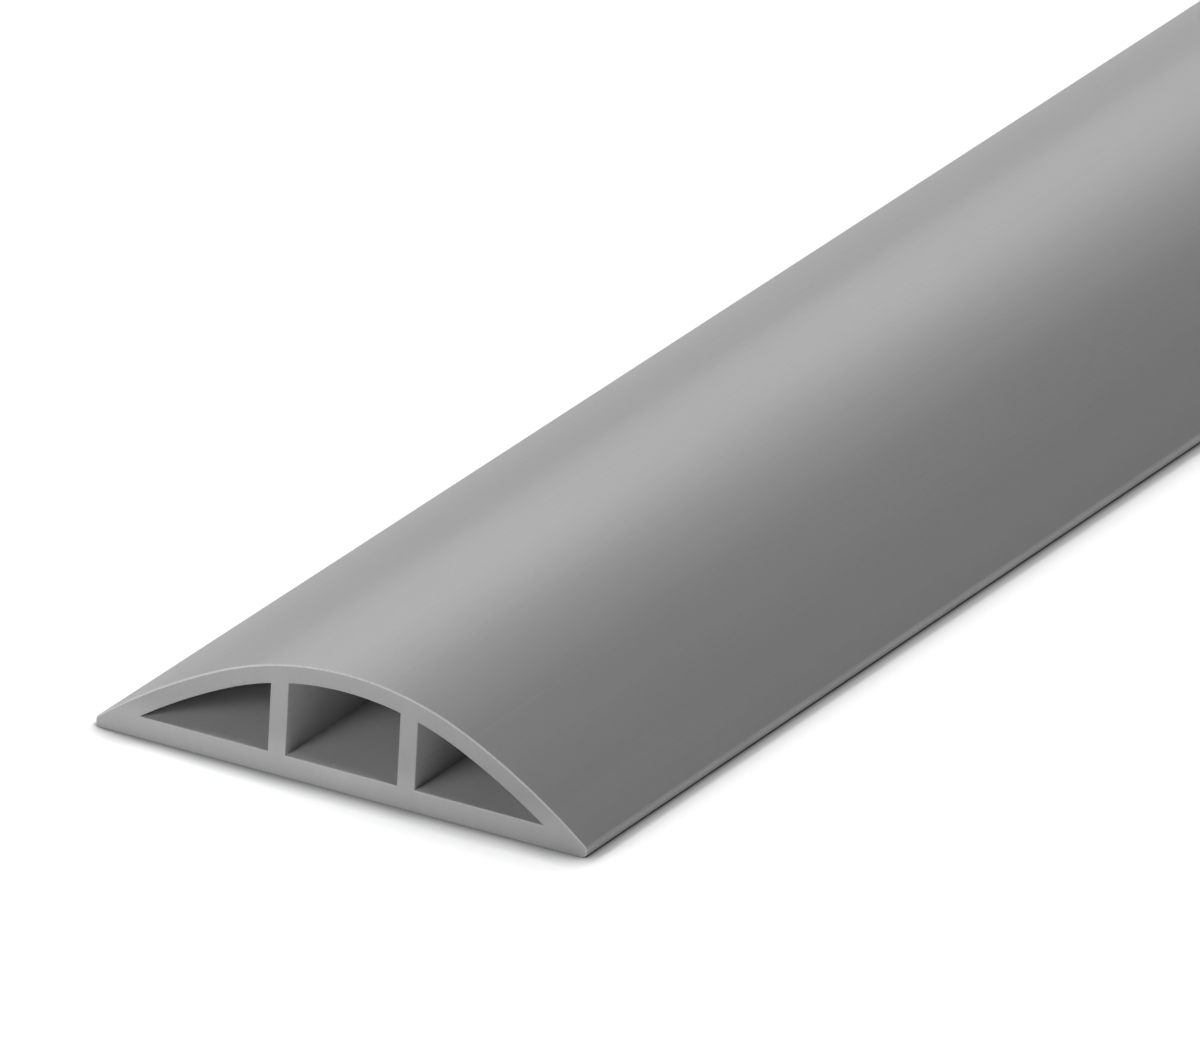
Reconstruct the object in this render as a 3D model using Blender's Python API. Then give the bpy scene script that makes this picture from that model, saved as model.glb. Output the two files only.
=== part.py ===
"""Floor cord cover: one length of flexible PVC extrusion with three through channels.

The section lies in the XZ plane and runs along Y. Z = 0 is the floor under the cover,
and the origin is in the middle of the footprint. All dimensions are in metres.
"""

import math

import bmesh
import bpy

# Driving dimensions of the stock
LENGTH = 1.524
WIDTH = 0.0635
HEIGHT = 0.0144
EDGE_HEIGHT = 0.00115

# The roof: a crown arc, with a flatter arc on each flank that runs on from it tangentially
CROWN_RADIUS = 0.0381
CROWN_HALF_ANGLE = math.radians(25.0)
ROOF_THICKNESS = 0.0022

# The floor strip and the two webs that part the channels
FLOOR_THICKNESS = 0.0026
WEB_THICKNESS = 0.00225
WEB_CENTRE = 0.00835

# Roundings of the blunt long edges, above and below
UPPER_ROUNDING = 0.0005
LOWER_ROUNDING = 0.0006

# An arc is drawn with chords that stray from it by no more than this
CHORD_ERROR = 0.000004

SMOOTH_LIMIT = math.radians(20.0)
PVC_GREY = (0.24, 0.24, 0.243, 1.0)
PVC_ROUGHNESS = 0.42


def on_circle(centre, radius, angle):
    """A point of a circle. Angles are measured from straight up, positive towards +X."""
    return centre[0] + radius * math.sin(angle), centre[1] + radius * math.cos(angle)


def arc(centre, radius, start, end):
    """Points from one angle to the other, both ends included."""
    widest = 2 * math.acos(1 - CHORD_ERROR / radius)
    steps = max(3, math.ceil(abs(end - start) / widest))
    turn = (end - start) / steps
    return [on_circle(centre, radius, start + turn * i) for i in range(steps + 1)]


def mirrored(points):
    """The same points on the other side of X = 0, in the order that carries a loop on."""
    return [(-x, z) for x, z in reversed(points)]


def flank_circle(crown_centre):
    """Centre and radius of the arc that leaves the crown arc smoothly and ends at the long edge."""
    join_x, join_z = on_circle(crown_centre, CROWN_RADIUS, CROWN_HALF_ANGLE)
    normal = (math.sin(CROWN_HALF_ANGLE), math.cos(CROWN_HALF_ANGLE))
    run, fall = WIDTH / 2 - join_x, EDGE_HEIGHT - join_z
    radius = -(run**2 + fall**2) / (2 * (run * normal[0] + fall * normal[1]))
    return (join_x - radius * normal[0], join_z - radius * normal[1]), radius


def outline(crown_centre, flank_centre, flank_radius):
    """The outside of the section, clockwise from the crown."""
    upper_x = WIDTH / 2 - UPPER_ROUNDING
    reach = flank_radius - UPPER_ROUNDING
    upper_z = flank_centre[1] + math.sqrt(reach**2 - (upper_x - flank_centre[0]) ** 2)
    flank_end = math.asin((upper_x - flank_centre[0]) / reach)
    lower = (WIDTH / 2 - LOWER_ROUNDING, LOWER_ROUNDING)

    crown = arc(crown_centre, CROWN_RADIUS, 0, CROWN_HALF_ANGLE)
    flank = arc(flank_centre, flank_radius, CROWN_HALF_ANGLE, flank_end)
    upper_corner = arc((upper_x, upper_z), UPPER_ROUNDING, flank_end, math.pi / 2)
    lower_corner = arc(lower, LOWER_ROUNDING, math.pi / 2, math.pi)
    half = crown + flank[1:] + upper_corner[1:] + lower_corner
    return half + mirrored(half)[:-1]


def middle_channel(crown_centre):
    """Arched roof, upright sides and a flat floor."""
    half_width = WEB_CENTRE - WEB_THICKNESS / 2
    radius = CROWN_RADIUS - ROOF_THICKNESS
    lean = math.asin(half_width / radius)
    roof = arc(crown_centre, radius, -lean, lean)
    return roof + [(half_width, FLOOR_THICKNESS), (-half_width, FLOOR_THICKNESS)]


def side_channel(crown_centre, flank_centre, flank_radius):
    """The channel at +X, which narrows from its web to a sharp edge where roof and floor meet."""
    web_face = WEB_CENTRE + WEB_THICKNESS / 2
    crown_inner = CROWN_RADIUS - ROOF_THICKNESS
    flank_inner = flank_radius - ROOF_THICKNESS
    at_web = math.asin(web_face / crown_inner)
    at_floor = math.acos((FLOOR_THICKNESS - flank_centre[1]) / flank_inner)
    roof = arc(crown_centre, crown_inner, at_web, CROWN_HALF_ANGLE)
    roof += arc(flank_centre, flank_inner, CROWN_HALF_ANGLE, at_floor)[1:]
    return roof + [(web_face, FLOOR_THICKNESS)]


def section_loops():
    """The outline and the three channels, each a closed loop of (x, z) points."""
    crown_centre = (0.0, HEIGHT - CROWN_RADIUS)
    flank_centre, flank_radius = flank_circle(crown_centre)
    right = side_channel(crown_centre, flank_centre, flank_radius)
    return [
        outline(crown_centre, flank_centre, flank_radius),
        middle_channel(crown_centre),
        right,
        mirrored(right),
    ]


def extrusion(loops, length):
    """A mesh of the section, filled between its loops and drawn out along Y."""
    shape = bmesh.new()
    edges = []
    for loop in loops:
        ring = [shape.verts.new((x, -length / 2, z)) for x, z in loop]
        edges += [shape.edges.new(pair) for pair in zip(ring, ring[1:] + ring[:1])]
    bmesh.ops.triangle_fill(shape, edges=edges, use_beauty=True, normal=(0, -1, 0))
    drawn = bmesh.ops.extrude_face_region(shape, geom=shape.faces[:], use_keep_orig=True)
    far_end = [item for item in drawn["geom"] if isinstance(item, bmesh.types.BMVert)]
    bmesh.ops.translate(shape, verts=far_end, vec=(0, length, 0))
    bmesh.ops.recalc_face_normals(shape, faces=shape.faces)
    mesh = bpy.data.meshes.new("cord_cover")
    shape.to_mesh(mesh)
    shape.free()
    return mesh


def pvc_material():
    """Satin grey flexible PVC."""
    material = bpy.data.materials.new("grey_pvc")
    material.use_nodes = True
    shader = material.node_tree.nodes["Principled BSDF"]
    shader.inputs["Base Color"].default_value = PVC_GREY
    shader.inputs["Roughness"].default_value = PVC_ROUGHNESS
    shader.inputs["Metallic"].default_value = 0.0
    return material


for old in list(bpy.data.objects):
    bpy.data.objects.remove(old, do_unlink=True)

cover_mesh = extrusion(section_loops(), LENGTH)
cover_mesh.shade_smooth()
cover_mesh.set_sharp_from_angle(angle=SMOOTH_LIMIT)
cover_mesh.materials.append(pvc_material())
cover = bpy.data.objects.new("cord_cover", cover_mesh)
bpy.context.scene.collection.objects.link(cover)
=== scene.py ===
# Floor cord cover: one length of grey PVC extrusion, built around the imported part.
import math

import bmesh
import bpy
from mathutils import Matrix, Vector


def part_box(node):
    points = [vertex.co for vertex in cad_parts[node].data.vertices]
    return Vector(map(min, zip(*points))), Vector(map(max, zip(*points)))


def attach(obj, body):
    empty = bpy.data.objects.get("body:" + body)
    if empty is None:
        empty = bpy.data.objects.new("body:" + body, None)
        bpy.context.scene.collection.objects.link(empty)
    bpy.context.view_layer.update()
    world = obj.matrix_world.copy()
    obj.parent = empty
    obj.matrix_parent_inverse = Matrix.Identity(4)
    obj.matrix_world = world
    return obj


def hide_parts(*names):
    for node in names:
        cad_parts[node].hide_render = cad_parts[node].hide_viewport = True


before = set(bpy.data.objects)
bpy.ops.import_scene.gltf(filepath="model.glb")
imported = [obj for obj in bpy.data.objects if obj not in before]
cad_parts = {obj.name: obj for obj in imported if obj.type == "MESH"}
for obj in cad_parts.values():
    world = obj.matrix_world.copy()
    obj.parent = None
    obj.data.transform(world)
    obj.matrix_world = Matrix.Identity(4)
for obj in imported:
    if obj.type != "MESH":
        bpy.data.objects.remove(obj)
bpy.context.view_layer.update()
lowCorner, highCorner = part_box("cord_cover")
print("frame loaded, the cover is", [round(v, 4) for v in highCorner - lowCorner], "m")


# Small helpers for working in edit mode

mergeDistance = 1e-6  # points nearer to each other than this are one point


def clearSelection():
    if bpy.context.mode != "OBJECT":
        bpy.ops.object.mode_set(mode="OBJECT")
    bpy.ops.object.select_all(action="DESELECT")


def pick(kind, test):
    # in edit mode, selects the vertices, edges or faces that pass the test
    bpy.ops.mesh.select_mode(type=kind)
    bpy.ops.mesh.select_all(action="DESELECT")
    mesh = bpy.context.edit_object.data
    shape = bmesh.from_edit_mesh(mesh)
    shape.normal_update()
    items = {"VERT": shape.verts, "EDGE": shape.edges, "FACE": shape.faces}[kind]
    for item in items:
        if test(item):
            item.select = True
    shape.select_flush(True)
    bmesh.update_edit_mesh(mesh)


def pickVerts(test):
    # the same for vertices, with a test of their place
    pick("VERT", lambda vert: test(vert.co))


def near(value, target):
    return abs(value - target) < 2 * mergeDistance


def weld():
    bpy.ops.mesh.select_all(action="SELECT")
    bpy.ops.mesh.remove_doubles(threshold=mergeDistance)


def turnFacesOut():
    bpy.ops.mesh.select_all(action="SELECT")
    bpy.ops.mesh.normals_make_consistent(inside=False)


def extrudeBy(x, y, z):
    bpy.ops.mesh.extrude_region_move(TRANSFORM_OT_translate={"value": (x, y, z)})


def applyModifier(piece, kind, **settings):
    modifier = piece.modifiers.new(kind.title(), kind)
    for name, value in settings.items():
        setattr(modifier, name, value)
    bpy.ops.object.modifier_apply(modifier=modifier.name)


# The cover. Lengths are in metres, angles in degrees.

coverShape = {
    "crownRadius": 0.0381,
    "crownHalfAngle": 25.0,  # where the flatter flank arcs take over
    "edgeHeight": 0.00115,  # the blunt long edges
    "roof": 0.0022,
    "floor": 0.0026,
    "web": 0.00225,
    "webCentre": 0.00835,
    "upperRounding": 0.0005,
    "upperSegments": 5,
    "lowerRounding": 0.0006,
    "lowerSegments": 6,
    "degreesPerFacet": 0.7,
    "cornerRadius": 0.00025,  # in the channels' corners, as the die leaves them
    "cornerSegments": 3,
    "rim": 0.00018,  # the dressed outer edge of the cut ends
    "mouthRim": 0.00007,  # how deep the channels' edges are broken there
    "baseRim": 0.00004,  # and the edge that lies on the floor
    "smoothAngle": 22.0,
    "endFacing": 0.9,  # faces whose normals point more lengthwise than this are the cut ends
    "rimFacing": 0.2,  # and of the rest, those above this are the rims round them
}


def spinTo(centre, y, fromAngle, toAngle, shape):
    # carries the selected edge or vertex round an arc; angles are radians from straight up
    turn = toAngle - fromAngle
    steps = max(1, round(math.degrees(turn) / shape["degreesPerFacet"]))
    bpy.ops.mesh.spin(steps=steps, angle=turn, center=(centre[0], y, centre[1]), axis=(0, -1, 0))


def flankArc(shape, high):
    # centre and radius of the flank's arc, which leaves the crown's arc smoothly and ends at the top
    # of the blunt edge
    crownEnd = math.radians(shape["crownHalfAngle"])
    normal = Vector((math.sin(crownEnd), math.cos(crownEnd)))
    join = Vector((0, high.z - shape["crownRadius"])) + shape["crownRadius"] * normal
    fall = Vector((high.x, shape["edgeHeight"])) - join
    radius = -fall.length_squared / (2 * fall.dot(normal))
    return join - radius * normal, radius


def roofDepth(co, shape, high):
    # how far a point of the section lies under the outer line of the roof
    point = Vector((abs(co.x), co.z))
    fromCrown = point - Vector((0, high.z - shape["crownRadius"]))
    if fromCrown.angle(Vector((0, 1))) < math.radians(shape["crownHalfAngle"]):
        return shape["crownRadius"] - fromCrown.length
    flankCentre, flankRadius = flankArc(shape, high)
    return flankRadius - (point - flankCentre).length


def inChannel(co, shape, high):
    # whether a point of the section lies on a channel's wall
    return roofDepth(co, shape, high) > shape["roof"] / 2 and co.z > shape["floor"] / 2


def makeCover(shape, low, high):
    halfWidth, height, front = high.x, high.z, low.y + shape["rim"]
    crownCentre = (0.0, height - shape["crownRadius"])
    crownEnd = math.radians(shape["crownHalfAngle"])
    innerRadius = shape["crownRadius"] - shape["roof"]
    webNear = shape["webCentre"] - shape["web"] / 2
    webFar = shape["webCentre"] + shape["web"] / 2
    flankCentre, flankRadius = flankArc(shape, high)
    flankMeetsFloor = math.acos((shape["floor"] - flankCentre.y) / (flankRadius - shape["roof"]))
    flankEnd = math.asin((halfWidth - flankCentre.x) / flankRadius)
    channelTip = flankCentre.x + (flankRadius - shape["roof"]) * math.sin(flankMeetsFloor)

    # a small square standing in the section, of which the edge on the middle line is kept
    clearSelection()
    bpy.ops.mesh.primitive_plane_add(
        size=shape["roof"],
        location=(-shape["roof"] / 2, front, height - shape["roof"] / 2),
        rotation=(math.pi / 2, 0, 0),
    )
    cover = bpy.context.object
    cover.name = cover.data.name = "coverBody"
    bpy.ops.object.transform_apply(location=True, rotation=True, scale=True)
    bpy.ops.object.mode_set(mode="EDIT")
    pickVerts(lambda co: co.x < -shape["roof"] / 2)
    bpy.ops.mesh.delete(type="VERT")

    # roof: spun in runs that end where the webs stand and where the flank begins
    bpy.ops.mesh.select_all(action="SELECT")
    stops = [0, math.asin(webNear / innerRadius), math.asin(webFar / innerRadius), crownEnd]
    for start, end in zip(stops, stops[1:]):
        spinTo(crownCentre, front, start, end, shape)
    spinTo(flankCentre, front, crownEnd, flankMeetsFloor, shape)

    # long edge: the outer line goes on to the blunt edge, down it and back under the floor strip
    lastX = flankCentre.x + flankRadius * math.sin(flankMeetsFloor)
    pickVerts(lambda co: near(co.x, lastX))
    spinTo(flankCentre, front, flankMeetsFloor, flankEnd, shape)
    extrudeBy(0, 0, -shape["edgeHeight"])
    extrudeBy(channelTip - halfWidth, 0, 0)
    extrudeBy(0, 0, shape["floor"])
    weld()
    pickVerts(lambda co: co.x > lastX - mergeDistance or near(co.x, channelTip))
    bpy.ops.mesh.edge_face_add()

    # web: drawn down from the roof, then on through the floor strip
    def overWeb(co):
        return webNear - mergeDistance < co.x < webFar + mergeDistance and inChannel(co, shape, high)

    pickVerts(overWeb)
    extrudeBy(0, 0, -shape["floor"])
    bpy.ops.transform.resize(value=(1, 1, 0), center_override=(0, front, shape["floor"]))
    extrudeBy(0, 0, -shape["floor"])

    # floor strip: out to the long edge, and in to the middle line
    pickVerts(lambda co: near(co.x, webFar) and co.z < shape["floor"] + mergeDistance)
    extrudeBy(channelTip - webFar, 0, 0)
    pickVerts(lambda co: near(co.x, webNear) and co.z < shape["floor"] + mergeDistance)
    extrudeBy(-webNear, 0, 0)
    weld()

    # the blunt edge's corners are rounded
    slope = math.pi / 2 + flankEnd
    upperOffset = shape["upperRounding"] / math.tan(slope / 2)
    pickVerts(lambda co: near(co.x, halfWidth) and co.z > shape["edgeHeight"] / 2)
    bpy.ops.mesh.bevel(offset=upperOffset, segments=shape["upperSegments"], affect="VERTICES")
    pickVerts(lambda co: near(co.x, halfWidth) and near(co.z, 0))
    bpy.ops.mesh.bevel(
        offset=shape["lowerRounding"],
        segments=shape["lowerSegments"],
        affect="VERTICES",
    )
    bpy.ops.object.mode_set(mode="OBJECT")
    applyModifier(cover, "MIRROR", use_axis=(True, False, False), merge_threshold=mergeDistance)

    # drawn out to full length, less the rims
    bpy.ops.object.mode_set(mode="EDIT")
    bpy.ops.mesh.select_all(action="SELECT")
    extrudeBy(0, high.y - low.y - 2 * shape["rim"], 0)
    turnFacesOut()

    # channel corners along the webs
    halfLength = (high.y - low.y) / 2
    sharp = math.radians(shape["smoothAngle"])

    def channelCorner(edge):
        a, b = edge.verts[0].co, edge.verts[1].co
        lengthwise = abs(a.y - b.y) > halfLength
        beside = near(abs(a.x), webNear) or near(abs(a.x), webFar)
        return lengthwise and beside and len(edge.link_faces) == 2 and edge.calc_face_angle() > sharp

    pick("EDGE", channelCorner)
    bpy.ops.mesh.bevel(
        offset=shape["cornerRadius"],
        segments=shape["cornerSegments"],
        affect="EDGES",
    )

    # cut ends: each face is inset and pushed out, which leaves a rim all round it; the rim is
    # then made shallower in the channels' mouths and next to nothing along the floor
    rim = shape["rim"]
    footLine = 1.2 * rim  # just above the inset line along the floor
    flatFoot = halfWidth - shape["lowerRounding"]
    for side, end in ((-1, low.y), (1, high.y)):
        pick("FACE", lambda face: face.normal.y * side > shape["endFacing"])
        bpy.ops.mesh.inset(thickness=rim, depth=rim, use_even_offset=True)
        pickVerts(lambda co: near(co.y, end - side * rim) and inChannel(co, shape, high))
        bpy.ops.transform.translate(value=(0, side * (rim - shape["mouthRim"]), 0))
        pickVerts(lambda co: near(co.y, end - side * rim) and co.z < shape["baseRim"])
        bpy.ops.transform.translate(value=(0, side * (rim - shape["baseRim"]), 0))
        pickVerts(lambda co: near(co.y, end) and co.z < footLine and abs(co.x) < flatFoot)
        bpy.ops.transform.resize(value=(1, 1, shape["baseRim"] / rim), center_override=(0, end, 0))
    turnFacesOut()
    bpy.ops.object.mode_set(mode="OBJECT")
    bpy.ops.object.shade_smooth_by_angle(angle=math.radians(shape["smoothAngle"]))
    return cover


cover = makeCover(coverShape, lowCorner, highCorner)
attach(cover, "root")
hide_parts("cord_cover")
print("cover modelled,", len(cover.data.polygons), "faces")


# Finishes. Shader sums are written as Python expressions on wrapped sockets.

micrometre = 1e-6


class Wire:
    # one shader socket; add() makes any other node, its settings first and then its sockets
    def __init__(self, tree, socket=None):
        self.tree = tree
        self.socket = socket

    def add(self, kind, settings=None, sockets=None, out=0):
        node = self.tree.nodes.new("ShaderNode" + kind)
        for name, value in (settings or {}).items():
            setattr(node, name, value)
        for name, value in (sockets or {}).items():
            if isinstance(value, Wire):
                self.tree.links.new(value.socket, node.inputs[name])
            else:
                node.inputs[name].default_value = value
        return Wire(self.tree, node.outputs[out])

    def maths(self, operation, *values):
        return self.add("Math", {"operation": operation}, dict(enumerate(values)))

    def __add__(self, other):
        return self.maths("ADD", self, other)

    def __radd__(self, other):
        return self.maths("ADD", other, self)

    def __sub__(self, other):
        return self.maths("SUBTRACT", self, other)

    def __mul__(self, other):
        return self.maths("MULTIPLY", self, other)

    def __rmul__(self, other):
        return self.maths("MULTIPLY", other, self)

    def axis(self, name):
        return self.add("SeparateXYZ", None, {"Vector": self}, out=name)

    def noise(self, size, stretch=(1, 1, 1), lean=0.0, detail=2.0):
        # noise centred on zero; size is the width of one grain in metres, stretch draws it out along
        # x, y and z, and lean turns it about y by so many degrees
        place = self
        if lean:
            turn = {"Vector": place, "Rotation": (0, math.radians(lean), 0)}
            place = place.add("Mapping", {"vector_type": "POINT"}, turn)
        scale = tuple(1 / (size * part) for part in stretch)
        place = place.add("VectorMath", {"operation": "MULTIPLY"}, {0: place, 1: scale})
        return place.add("TexNoise", None, {"Vector": place, "Scale": 1.0, "Detail": detail}) - 0.5

    def ramp(self, low, high, start=0.0, end=1.0):
        # smooth step from start to end while the socket goes from low to high
        values = {"Value": self, "From Min": low, "From Max": high, "To Min": start, "To Max": end}
        return self.add("MapRange", {"interpolation_type": "SMOOTHSTEP"}, values)

    def feed(self, shader, name):
        self.tree.links.new(self.socket, shader.inputs[name])

    def feedColour(self, shader):
        # the socket's value becomes a grey between black and white
        black, white = (0, 0, 0, 1), (1, 1, 1, 1)
        grey = self.add("Mix", {"data_type": "RGBA"}, {0: self, 6: black, 7: white}, out=2)
        grey.feed(shader, "Base Color")


def newFinish(name):
    # an empty material, its Principled shader and a wire with the place on the piece
    material = bpy.data.materials.new(name)
    material.use_nodes = True
    tree = material.node_tree
    shader = tree.nodes["Principled BSDF"]
    place = Wire(tree).add("TexCoord", None, None, out="Object")
    return material, shader, place


def setFinish(shader, tone, roughness, height):
    # all three as wires, the height in micrometres
    bump = height.add("Bump", None, {"Strength": 1.0, "Distance": micrometre, "Height": height})
    tone.feedColour(shader)
    roughness.feed(shader, "Roughness")
    bump.feed(shader, "Normal")


def addLayers(place, look):
    # sums up the look's layers of noise. "grain" says what a layer's noise is like, and the other
    # entries what it adds: to the tone as a share of the grey, to the roughness, and to the height
    sums = {"tone": 1.0, "roughness": look["roughness"], "height": 0.0}
    for layer in look["layers"].values():
        noise = place.noise(**layer["grain"])
        for part in sums:
            if part in layer:
                sums[part] = sums[part] + layer[part] * noise
    return sums["tone"], sums["roughness"], sums["height"]


skinLook = {
    "grey": 0.226,
    "roughness": 0.42,
    "specular": 0.32,
    "layers": {
        "dieLines": {
            "grain": {"size": 0.00035, "stretch": (1, 400, 1)},
            "tone": 0.09,
            "height": 5.0,
        },
        "dieBands": {
            "grain": {"size": 0.0035, "stretch": (1, 400, 1)},
            "tone": 0.05,
            "roughness": 0.06,
            "height": 24.0,
        },
        "fineGrain": {
            "grain": {"size": 0.00018},
            "tone": 0.16,
            "roughness": 0.08,
            "height": 1.8,
        },
        # the faint unevenness of a matt extruded skin
        "mottle": {
            "grain": {"size": 0.0011, "stretch": (1, 1.6, 1)},
            "tone": 0.05,
            "roughness": 0.06,
            "height": 11.0,
        },
        "softWaves": {
            "grain": {"size": 0.03, "stretch": (1, 3, 1), "detail": 1.0},
            "height": 25.0,
        },
        "cloud": {
            "grain": {"size": 0.05},
            "tone": 0.05,
            "roughness": 0.05,
        },
    },
    "edgeHighlightWidth": 0.0003,  # how far in from the right long edge a painted highlight makes the plastic paler
    "edgeHighlightPaler": 0.25,
    "edgeHighlightPatches": {"size": 0.004, "stretch": (1, 4, 1)},
    "edgeHighlightPatchiness": 1.5,
}


def makeSkin(look, halfWidth):
    # the outside, as it leaves the die: satin, with die lines along it and a fine even grain
    material, shader, place = newFinish("extrudedPvc")
    tone, roughness, height = addLayers(place, look)
    # painted highlight: the plastic is made paler, in patches, along the right long edge where light
    # catches it
    paintedEdgeHighlight = place.axis("X").ramp(halfWidth - look["edgeHighlightWidth"], halfWidth - look["edgeHighlightWidth"] / 2)
    patches = 1 + look["edgeHighlightPatchiness"] * place.noise(**look["edgeHighlightPatches"])
    tone = look["grey"] * tone * (1 + look["edgeHighlightPaler"] * paintedEdgeHighlight * patches)
    setFinish(shader, tone, roughness, height)
    shader.inputs["Specular IOR Level"].default_value = look["specular"]
    return material


# the channels' walls: never sized or polished, so duller, with deeper die lines; their grey is paler
# than the skin's, as painted light inside the channels
channelLitLook = {
    # painted light: this grey is far paler than the skin's, to lighten the channels' insides
    "grey": 0.42,
    "roughness": 0.5,
    "layers": {
        "dieLines": {
            "grain": {"size": 0.0006, "stretch": (1, 300, 1)},
            "tone": 0.16,
            "roughness": 0.08,
            "height": 9.0,
        },
        "fineGrain": {
            "grain": {"size": 0.0003},
            "tone": 0.08,
            "roughness": 0.08,
            "height": 3.0,
        },
        "cloud": {
            "grain": {"size": 0.02},
            "tone": 0.06,
        },
    },
}

# the dressed edge round the cut ends, smoother where the scraper has gone, and paler as a painted
# highlight along the rim
rimHighlightLook = {
    "grey": 0.36,
    "roughness": 0.3,
    "layers": {
        "nicks": {
            "grain": {"size": 0.0004},
            "tone": 0.25,
            "roughness": 0.15,
            "height": 4.0,
        },
    },
}


def makePlain(name, look):
    # a finish that is nothing but its layers
    material, shader, place = newFinish(name)
    tone, roughness, height = addLayers(place, look)
    setFinish(shader, look["grey"] * tone, roughness, height)
    return material


cutLook = {
    "grey": 0.187,
    "floorLightPaler": 0.31,  # how much paler the cut is low down: painted light, in place of light bounced up from the floor
    "floorLightLow": 0.0022,
    "floorLightHigh": 0.006,
    "roughness": 0.5,
    "layers": {
        # the blade's strokes, which lean from the upright
        "strokes": {
            "grain": {"size": 0.00016, "stretch": (1, 1, 60), "lean": 12.0},
            "tone": 0.10,
            "roughness": 0.12,
            "height": 4.0,
        },
        "steps": {
            "grain": {"size": 0.0014, "stretch": (1, 1, 12), "lean": 12.0},
            "tone": 0.06,
            "roughness": 0.06,
            "height": 6.0,
        },
        "fineGrain": {
            "grain": {"size": 0.00025},
            "tone": 0.08,
        },
    },
}


def makeCut(look):
    # the cut ends: fine strokes of the blade on bare plastic, and painted light that makes them paler
    # low down
    material, shader, place = newFinish("cutPvc")
    tone, roughness, height = addLayers(place, look)
    # painted light: the cut is made paler near the floor, in place of light bounced up from it
    paintedFloorLight = place.axis("Z").ramp(look["floorLightHigh"], look["floorLightLow"])
    tone = look["grey"] * (tone + look["floorLightPaler"] * paintedFloorLight)
    setFinish(shader, tone, roughness, height)
    return material


def dressCover(cover, shape, high):
    # each finish goes to the faces that it belongs to
    finishes = {
        "skin": makeSkin(skinLook, high.x),
        "wall": makePlain("channelPvcPaintedLight", channelLitLook),
        "cut": makeCut(cutLook),
        # the rims carry a painted highlight in their paler grey
        "edge": makePlain("dressedEdgePaintedHighlight", rimHighlightLook),
    }
    for material in finishes.values():
        cover.data.materials.append(material)

    order = list(finishes)
    for face in cover.data.polygons:
        inside = inChannel(face.center, shape, high)
        lengthwise = abs(face.normal.y)
        if lengthwise > shape["endFacing"]:
            finish = "cut"
        elif lengthwise > shape["rimFacing"]:
            finish = "cut" if inside else "edge"
        else:
            finish = "wall" if inside else "skin"
        face.material_index = order.index(finish)


dressCover(cover, coverShape, highCorner)
print("finishes made")


# Floor and light. Strengths are what a white card turned to the light would show, 1 being plain white.

floorLook = {
    "size": 60.0,
    "white": 1.0,
    "roughness": 0.9,
    "specular": 0.0,
    "shadeSamples": 16,
    "shadeReach": 0.004,  # how far from the cover the floor is darkened under its edges, as painted shade
    "shadeLeft": 0.0,  # how dark that painted shade is on each side; none on the left, where the key light falls
    "shadeFront": 1.9,
    "shadeRight": 1.45,
    "shadeBlend": 0.0012,  # over what width one passes into the next
}


def makeFloor(look, low, high):
    clearSelection()
    bpy.ops.mesh.primitive_plane_add(size=look["size"], location=(0, 0, low.z))
    floor = bpy.context.object
    floor.name = floor.data.name = "studioFloor"
    material, shader, place = newFinish("studioWhite")
    reach = {"Distance": look["shadeReach"]}
    # painted shade: ambient occlusion darkens the floor's colour near the cover, as a contact shadow
    shade = place.add("AmbientOcclusion", {"samples": look["shadeSamples"]}, reach, out="AO")
    across = place.axis("X")
    depth = across.ramp(low.x - look["shadeBlend"], low.x, look["shadeLeft"], look["shadeFront"])
    extra = look["shadeRight"] - look["shadeFront"]
    depth = depth + across.ramp(high.x - look["shadeBlend"], high.x, 0.0, extra)
    tone = look["white"] * place.maths("POWER", shade, depth)
    tone.feedColour(shader)
    shader.inputs["Roughness"].default_value = look["roughness"]
    shader.inputs["Specular IOR Level"].default_value = look["specular"]
    floor.data.materials.append(material)


makeFloor(floorLook, lowCorner, highCorner)

# azimuth is counted from +X towards +Y, spread is how wide the light looks from the cover
farLights = {
    "keyLeft": {"azimuth": 165, "elevation": 38, "spread": 24, "strength": 0.685},
    "highRight": {"azimuth": 0, "elevation": 65, "spread": 20, "strength": 0.41},
    "sheenBack": {"azimuth": 120, "elevation": 32, "spread": 14, "strength": 0.126},
    "sheenLow": {"azimuth": 125, "elevation": 16, "spread": 14, "strength": 0.059},
    "sheenFar": {"azimuth": 105, "elevation": 16, "spread": 14, "strength": 0.089},
    "front": {"azimuth": 265, "elevation": 25, "spread": 14, "strength": 0.236},
    "rightLow": {"azimuth": 20, "elevation": 10, "spread": 14, "strength": 0.125},
}
sunDistance = 3.0  # only for the eye: a sun lights the same from anywhere
nearLamp = {
    "azimuth": 255,
    "elevation": 10,
    "aimHeight": 0.007,  # on the near end
    "distance": 0.1,
    "size": 0.05,
    "strength": 0.7,
}


def towards(light):
    azimuth, elevation = math.radians(light["azimuth"]), math.radians(light["elevation"])
    return Vector((
        math.cos(azimuth) * math.cos(elevation),
        math.sin(azimuth) * math.cos(elevation),
        math.sin(elevation),
    ))


def addLamp(name, kind, place, way):
    # a lamp at a place, whose light comes from the way given
    clearSelection()
    bpy.ops.object.light_add(type=kind, location=place)
    lamp = bpy.context.object
    lamp.name = lamp.data.name = name
    lamp.rotation_mode = "QUATERNION"
    lamp.rotation_quaternion = way.to_track_quat("Z", "Y")
    lamp.visible_camera = False
    return lamp


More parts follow.
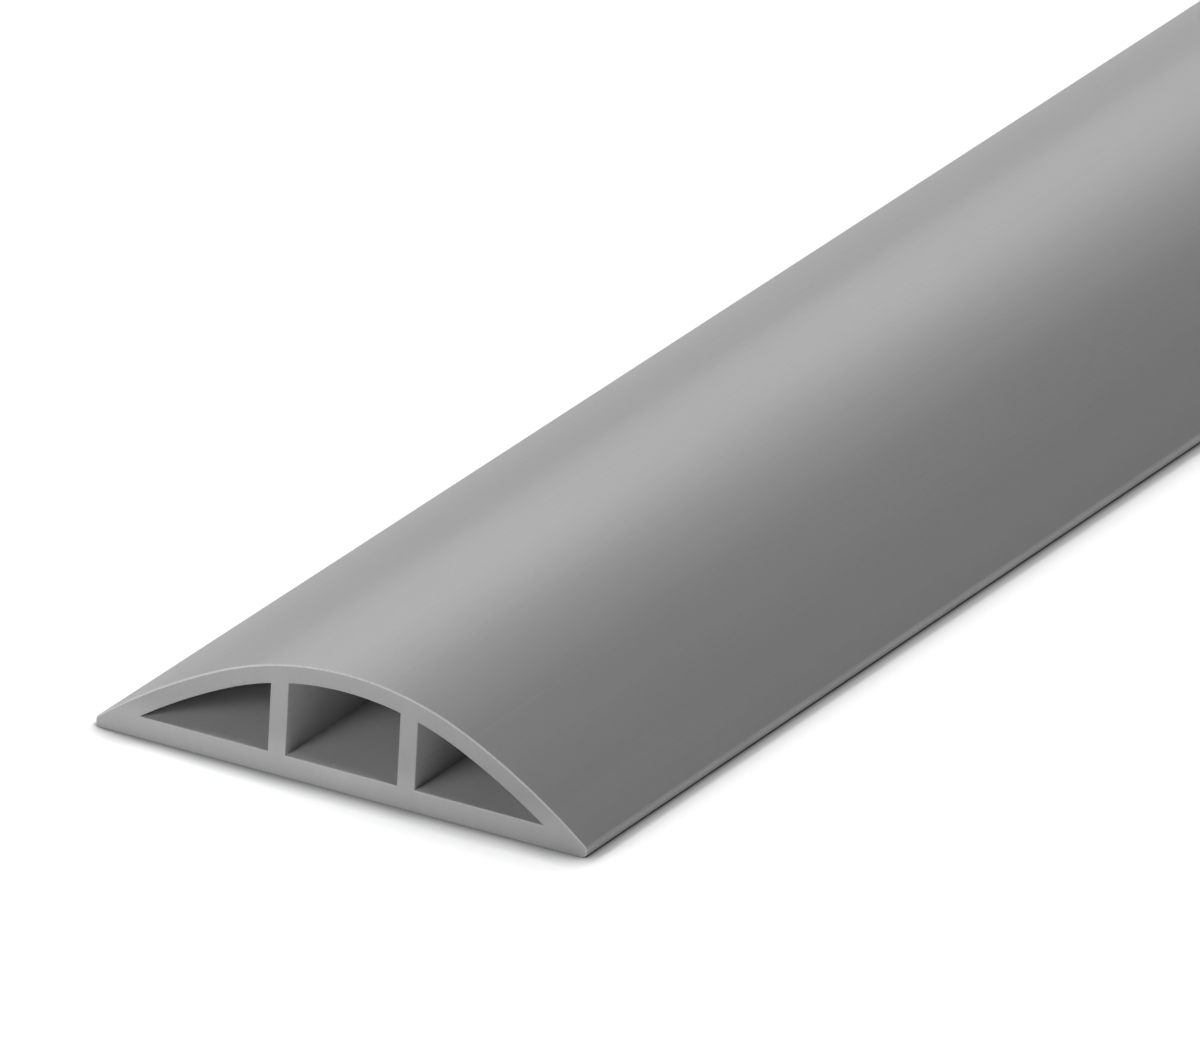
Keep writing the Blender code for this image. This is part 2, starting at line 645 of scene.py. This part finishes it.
def lightStudio(low):
    for name, light in farLights.items():
        way = towards(light)
        lamp = addLamp(name, "SUN", sunDistance * way, way)
        lamp.data.energy = math.pi * light["strength"]
        lamp.data.angle = math.radians(light["spread"])
    way = towards(nearLamp)
    aim = Vector((0, low.y, nearLamp["aimHeight"]))
    lamp = addLamp("nearLamp", "AREA", aim + nearLamp["distance"] * way, way)
    lamp.data.shape = "DISK"
    lamp.data.size = nearLamp["size"]
    lamp.data.energy = math.pi ** 2 * nearLamp["distance"] ** 2 * nearLamp["strength"]
    world = bpy.data.worlds.new("studioWorld")
    world.use_nodes = True
    world.node_tree.nodes["Background"].inputs["Strength"].default_value = 0.0
    bpy.context.scene.world = world
    bpy.context.scene.view_settings.view_transform = "Standard"


lightStudio(lowCorner)
print("floor and lights placed")

cameraView = {
    "azimuth": 27.97,
    "elevation": 23.01,
    "roll": 3.1,
    "distance": 3.232,
    "focalPixels": 28825.0,
    "pictureWidth": 1200,
    "sensorWidth": 36.0,
    "clipEnd": 100,
    "nearEndHeight": 0.007,  # the point of the near end from which the picture's middle is counted
    "middleRight": 0.02887,
    "middleUp": 0.02376,
}


def placeCamera(view, nearEndY):
    azimuth, elevation, roll = (math.radians(view[k]) for k in ("azimuth", "elevation", "roll"))
    back = Vector((
        math.sin(azimuth) * math.cos(elevation),
        -math.cos(azimuth) * math.cos(elevation),
        math.sin(elevation),
    ))
    right = Vector((0, 0, 1)).cross(back).normalized()
    up = back.cross(right)
    right, up = (
        math.cos(roll) * right + math.sin(roll) * up,
        math.cos(roll) * up - math.sin(roll) * right,
    )
    middle = Vector((0, nearEndY, view["nearEndHeight"]))
    middle += view["middleRight"] * right + view["middleUp"] * up
    bpy.ops.object.camera_add()
    camera = bpy.context.object
    camera.name = "productCamera"
    place = middle + view["distance"] * back
    camera.matrix_world = Matrix([
        (right.x, up.x, back.x, place.x),
        (right.y, up.y, back.y, place.y),
        (right.z, up.z, back.z, place.z),
        (0, 0, 0, 1),
    ])
    camera.data.sensor_fit = "HORIZONTAL"
    camera.data.sensor_width = view["sensorWidth"]
    camera.data.lens = view["sensorWidth"] * view["focalPixels"] / view["pictureWidth"]
    camera.data.clip_end = view["clipEnd"]
    bpy.context.scene.camera = camera


placeCamera(cameraView, lowCorner.y)
print("camera placed")
